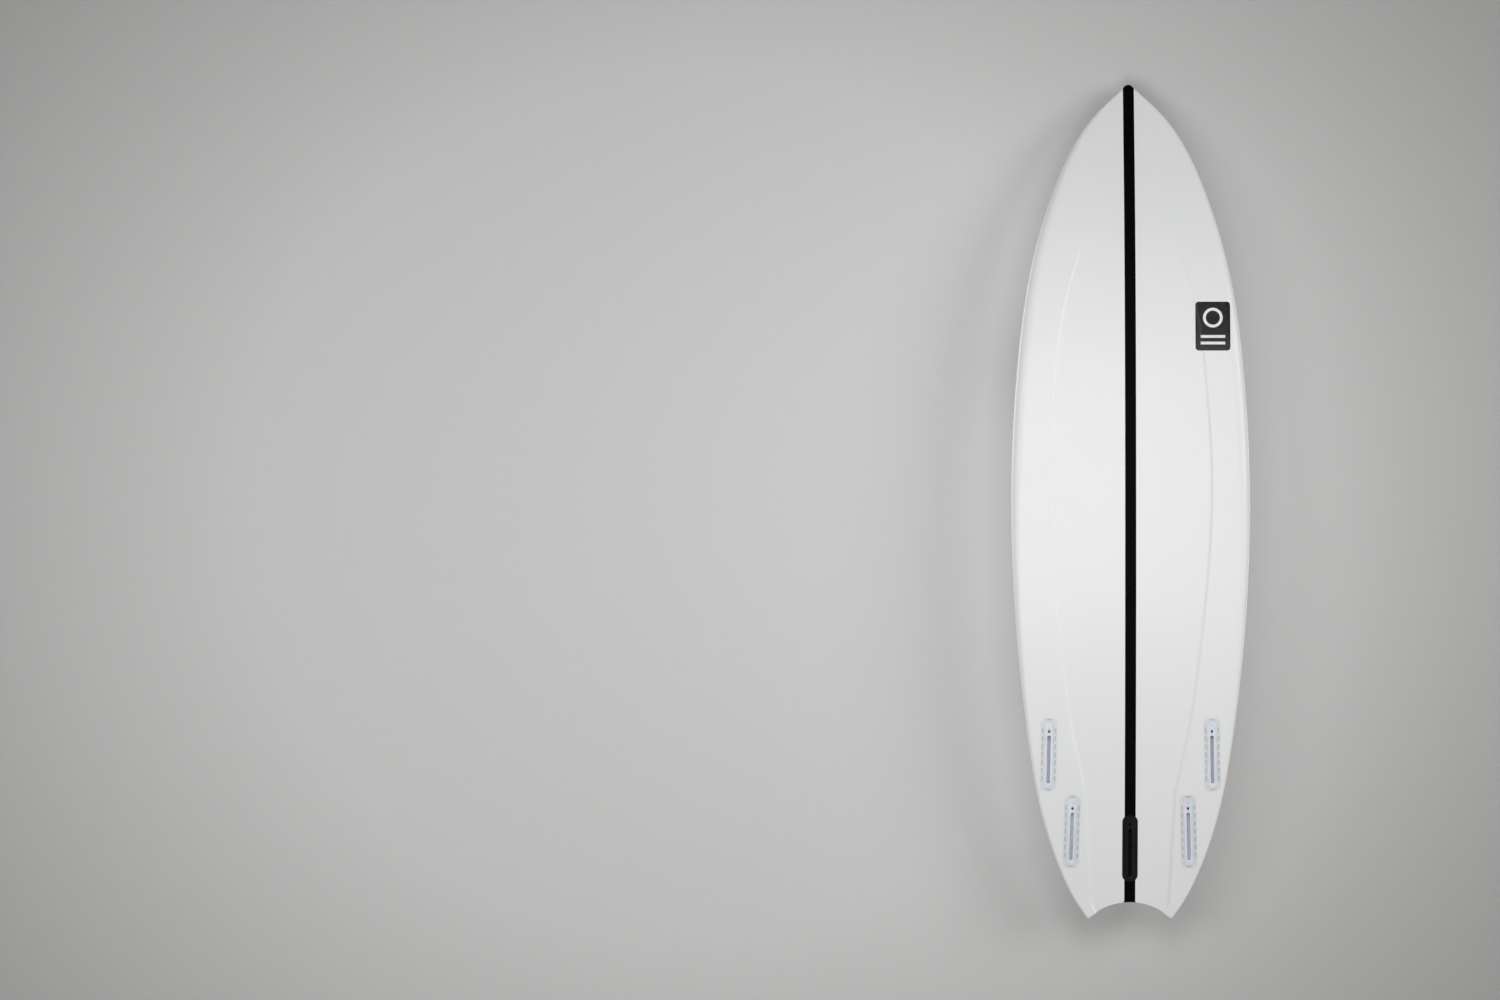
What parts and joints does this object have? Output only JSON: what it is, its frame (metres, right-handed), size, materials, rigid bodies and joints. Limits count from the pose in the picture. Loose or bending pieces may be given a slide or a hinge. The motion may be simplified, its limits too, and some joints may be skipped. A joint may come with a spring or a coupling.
{
  "type": "surfboard",
  "caption": "Short surfboard with a crescent tail, domed deck, recessed bottom panel, black stringer, fin boxes with set screws and a leash plug.",
  "frame": {"origin": "on the stringer line, level with the flats of the bottom beside the recessed panel, halfway between tail tips and nose", "axes": "+Z to the nose, as the board stands in the picture, +Y out of the bottom, +X to the right seen from the deck"},
  "size_m": [0.5082, 0.1274, 1.778],
  "materials": {
    "foam": "closed-cell foam",
    "stringer": "black composite under gloss resin",
    "white_laminate": "gloss white",
    "pinline": "gloss dark grey",
    "black_box_plastic": "satin black",
    "pale_box_plastic": "translucent pale lavender",
    "stainless_steel": "stainless",
    "plug_plastic": "pale moulded plastic",
    "black_print": "black print",
    "white_print": "white print"
  },
  "bodies": {
    "board": {"badge_glyph": "white_print", "bottom_badge": "black_print", "deck_mark": "black_print", "deck_pinline": "pinline", "deck_rule_mark": "black_print", "deck_skin": "white_laminate", "fin_box_centre": "black_box_plastic", "fin_box_front_left": "pale_box_plastic", "fin_box_front_right": "pale_box_plastic", "fin_box_rear_left": "pale_box_plastic", "fin_box_rear_right": "pale_box_plastic", "foam_core_left": "foam", "foam_core_right": "foam", "laminate_left": "white_laminate", "laminate_right": "white_laminate", "leash_bar": "stainless_steel", "leash_patch": "black_print", "leash_plug": "plug_plastic", "stringer": "stringer"},
    "screw_centre": {"fin_screw_centre": "stainless_steel"},
    "screw_front_left": {"fin_screw_front_left": "stainless_steel"},
    "screw_front_right": {"fin_screw_front_right": "stainless_steel"},
    "screw_rear_left": {"fin_screw_rear_left": "stainless_steel"},
    "screw_rear_right": {"fin_screw_rear_right": "stainless_steel"}
  },
  "joints": [
    {"name": "fin_screw_front_left_travel", "type": "slide", "parent": "board", "child": "screw_front_left", "axis": [-0.0123, -0.7572, -0.6531], "range_m": [-0.002, 0.004]},
    {"name": "fin_screw_front_right_travel", "type": "slide", "parent": "board", "child": "screw_front_right", "axis": [0.0123, -0.7572, -0.6531], "range_m": [-0.002, 0.004]},
    {"name": "fin_screw_rear_left_travel", "type": "slide", "parent": "board", "child": "screw_rear_left", "axis": [-0.0197, -0.7747, -0.632], "range_m": [-0.002, 0.004]},
    {"name": "fin_screw_rear_right_travel", "type": "slide", "parent": "board", "child": "screw_rear_right", "axis": [0.0197, -0.7747, -0.632], "range_m": [-0.002, 0.004]},
    {"name": "fin_screw_centre_travel", "type": "slide", "parent": "board", "child": "screw_centre", "axis": [0, -0.7772, -0.6293], "range_m": [-0.002, 0.004]}
  ]
}
